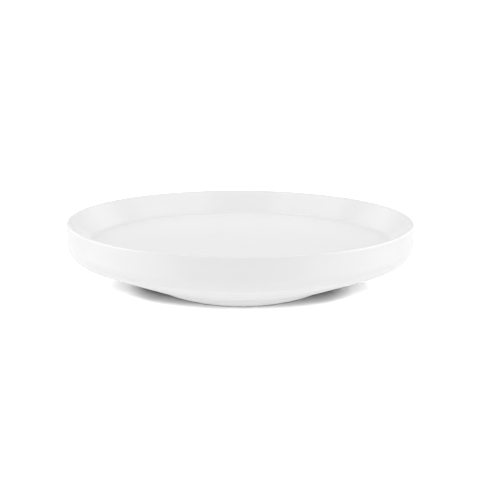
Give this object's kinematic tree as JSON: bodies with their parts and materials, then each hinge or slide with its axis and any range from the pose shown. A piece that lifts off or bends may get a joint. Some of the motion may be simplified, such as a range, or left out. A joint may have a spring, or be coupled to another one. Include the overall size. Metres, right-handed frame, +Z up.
{
  "type": "lazy susan turntable",
  "caption": "Round white lazy susan: a deep-rimmed double-walled tray that spins on a ball bearing over a low foot with rubber pads.",
  "frame": {"origin": "on the table, under the turning axis", "axes": "+Z up along the turning axis; X and Y are free, the outside is round"},
  "size_m": [0.3, 0.3, 0.064],
  "materials": {
    "white_plastic": "gloss",
    "race_steel": "pressed, zinc plated",
    "screw_steel": "zinc plated",
    "ball_steel": "polished",
    "cage_nylon": "matte",
    "bush_acetal": "satin",
    "pad_rubber": "matte"
  },
  "bodies": {
    "base": {"base": "white_plastic", "lower_race": "race_steel", "lower_race_screws": "screw_steel", "pivot_bush": "bush_acetal", "foot_pad_1": "pad_rubber", "foot_pad_2": "pad_rubber", "foot_pad_3": "pad_rubber", "foot_pad_4": "pad_rubber", "foot_pad_5": "pad_rubber", "foot_pad_6": "pad_rubber"},
    "tray": {"tray": "white_plastic", "under_shell": "white_plastic", "shell_screws": "screw_steel", "upper_race": "race_steel", "upper_race_screws": "screw_steel", "pivot_screw": "screw_steel", "pivot_washer": "screw_steel"},
    "cage": {"ball_cage": "cage_nylon"},
    "ball_01": {"ball_01": "ball_steel"},
    "ball_02": {"ball_02": "ball_steel"},
    "ball_03": {"ball_03": "ball_steel"},
    "ball_04": {"ball_04": "ball_steel"},
    "ball_05": {"ball_05": "ball_steel"},
    "ball_06": {"ball_06": "ball_steel"},
    "ball_07": {"ball_07": "ball_steel"},
    "ball_08": {"ball_08": "ball_steel"},
    "ball_09": {"ball_09": "ball_steel"},
    "ball_10": {"ball_10": "ball_steel"},
    "ball_11": {"ball_11": "ball_steel"},
    "ball_12": {"ball_12": "ball_steel"}
  },
  "joints": [
    {"name": "tray_spin", "type": "hinge", "parent": "base", "child": "tray", "pos_m": [0, 0, 0], "axis": [0, 0, 1], "continuous": true},
    {"name": "cage_spin", "type": "hinge", "parent": "base", "child": "cage", "pos_m": [0, 0, 0], "axis": [0, 0, 1], "continuous": true},
    {"name": "ball_01_roll", "type": "hinge", "parent": "cage", "child": "ball_01", "pos_m": [0.05, 0, 0.0323], "axis": [1, 0, 0], "continuous": true},
    {"name": "ball_02_roll", "type": "hinge", "parent": "cage", "child": "ball_02", "pos_m": [0.0433, 0.025, 0.0323], "axis": [0.866, 0.5, 0], "continuous": true},
    {"name": "ball_03_roll", "type": "hinge", "parent": "cage", "child": "ball_03", "pos_m": [0.025, 0.0433, 0.0323], "axis": [0.5, 0.866, 0], "continuous": true},
    {"name": "ball_04_roll", "type": "hinge", "parent": "cage", "child": "ball_04", "pos_m": [0, 0.05, 0.0323], "axis": [0, 1, 0], "continuous": true},
    {"name": "ball_05_roll", "type": "hinge", "parent": "cage", "child": "ball_05", "pos_m": [-0.025, 0.0433, 0.0323], "axis": [-0.5, 0.866, 0], "continuous": true},
    {"name": "ball_06_roll", "type": "hinge", "parent": "cage", "child": "ball_06", "pos_m": [-0.0433, 0.025, 0.0323], "axis": [-0.866, 0.5, 0], "continuous": true},
    {"name": "ball_07_roll", "type": "hinge", "parent": "cage", "child": "ball_07", "pos_m": [-0.05, 0, 0.0323], "axis": [-1, 0, 0], "continuous": true},
    {"name": "ball_08_roll", "type": "hinge", "parent": "cage", "child": "ball_08", "pos_m": [-0.0433, -0.025, 0.0323], "axis": [-0.866, -0.5, 0], "continuous": true},
    {"name": "ball_09_roll", "type": "hinge", "parent": "cage", "child": "ball_09", "pos_m": [-0.025, -0.0433, 0.0323], "axis": [-0.5, -0.866, 0], "continuous": true},
    {"name": "ball_10_roll", "type": "hinge", "parent": "cage", "child": "ball_10", "pos_m": [0, -0.05, 0.0323], "axis": [0, -1, 0], "continuous": true},
    {"name": "ball_11_roll", "type": "hinge", "parent": "cage", "child": "ball_11", "pos_m": [0.025, -0.0433, 0.0323], "axis": [0.5, -0.866, 0], "continuous": true},
    {"name": "ball_12_roll", "type": "hinge", "parent": "cage", "child": "ball_12", "pos_m": [0.0433, -0.025, 0.0323], "axis": [0.866, -0.5, 0], "continuous": true}
  ],
  "couplings": [
    {"joint": "cage_spin", "follows": "tray_spin", "ratio": 0.5},
    {"joint": "ball_01_roll", "follows": "tray_spin", "ratio": -8.3333},
    {"joint": "ball_02_roll", "follows": "tray_spin", "ratio": -8.3333},
    {"joint": "ball_03_roll", "follows": "tray_spin", "ratio": -8.3333},
    {"joint": "ball_04_roll", "follows": "tray_spin", "ratio": -8.3333},
    {"joint": "ball_05_roll", "follows": "tray_spin", "ratio": -8.3333},
    {"joint": "ball_06_roll", "follows": "tray_spin", "ratio": -8.3333},
    {"joint": "ball_07_roll", "follows": "tray_spin", "ratio": -8.3333},
    {"joint": "ball_08_roll", "follows": "tray_spin", "ratio": -8.3333},
    {"joint": "ball_09_roll", "follows": "tray_spin", "ratio": -8.3333},
    {"joint": "ball_10_roll", "follows": "tray_spin", "ratio": -8.3333},
    {"joint": "ball_11_roll", "follows": "tray_spin", "ratio": -8.3333},
    {"joint": "ball_12_roll", "follows": "tray_spin", "ratio": -8.3333}
  ]
}
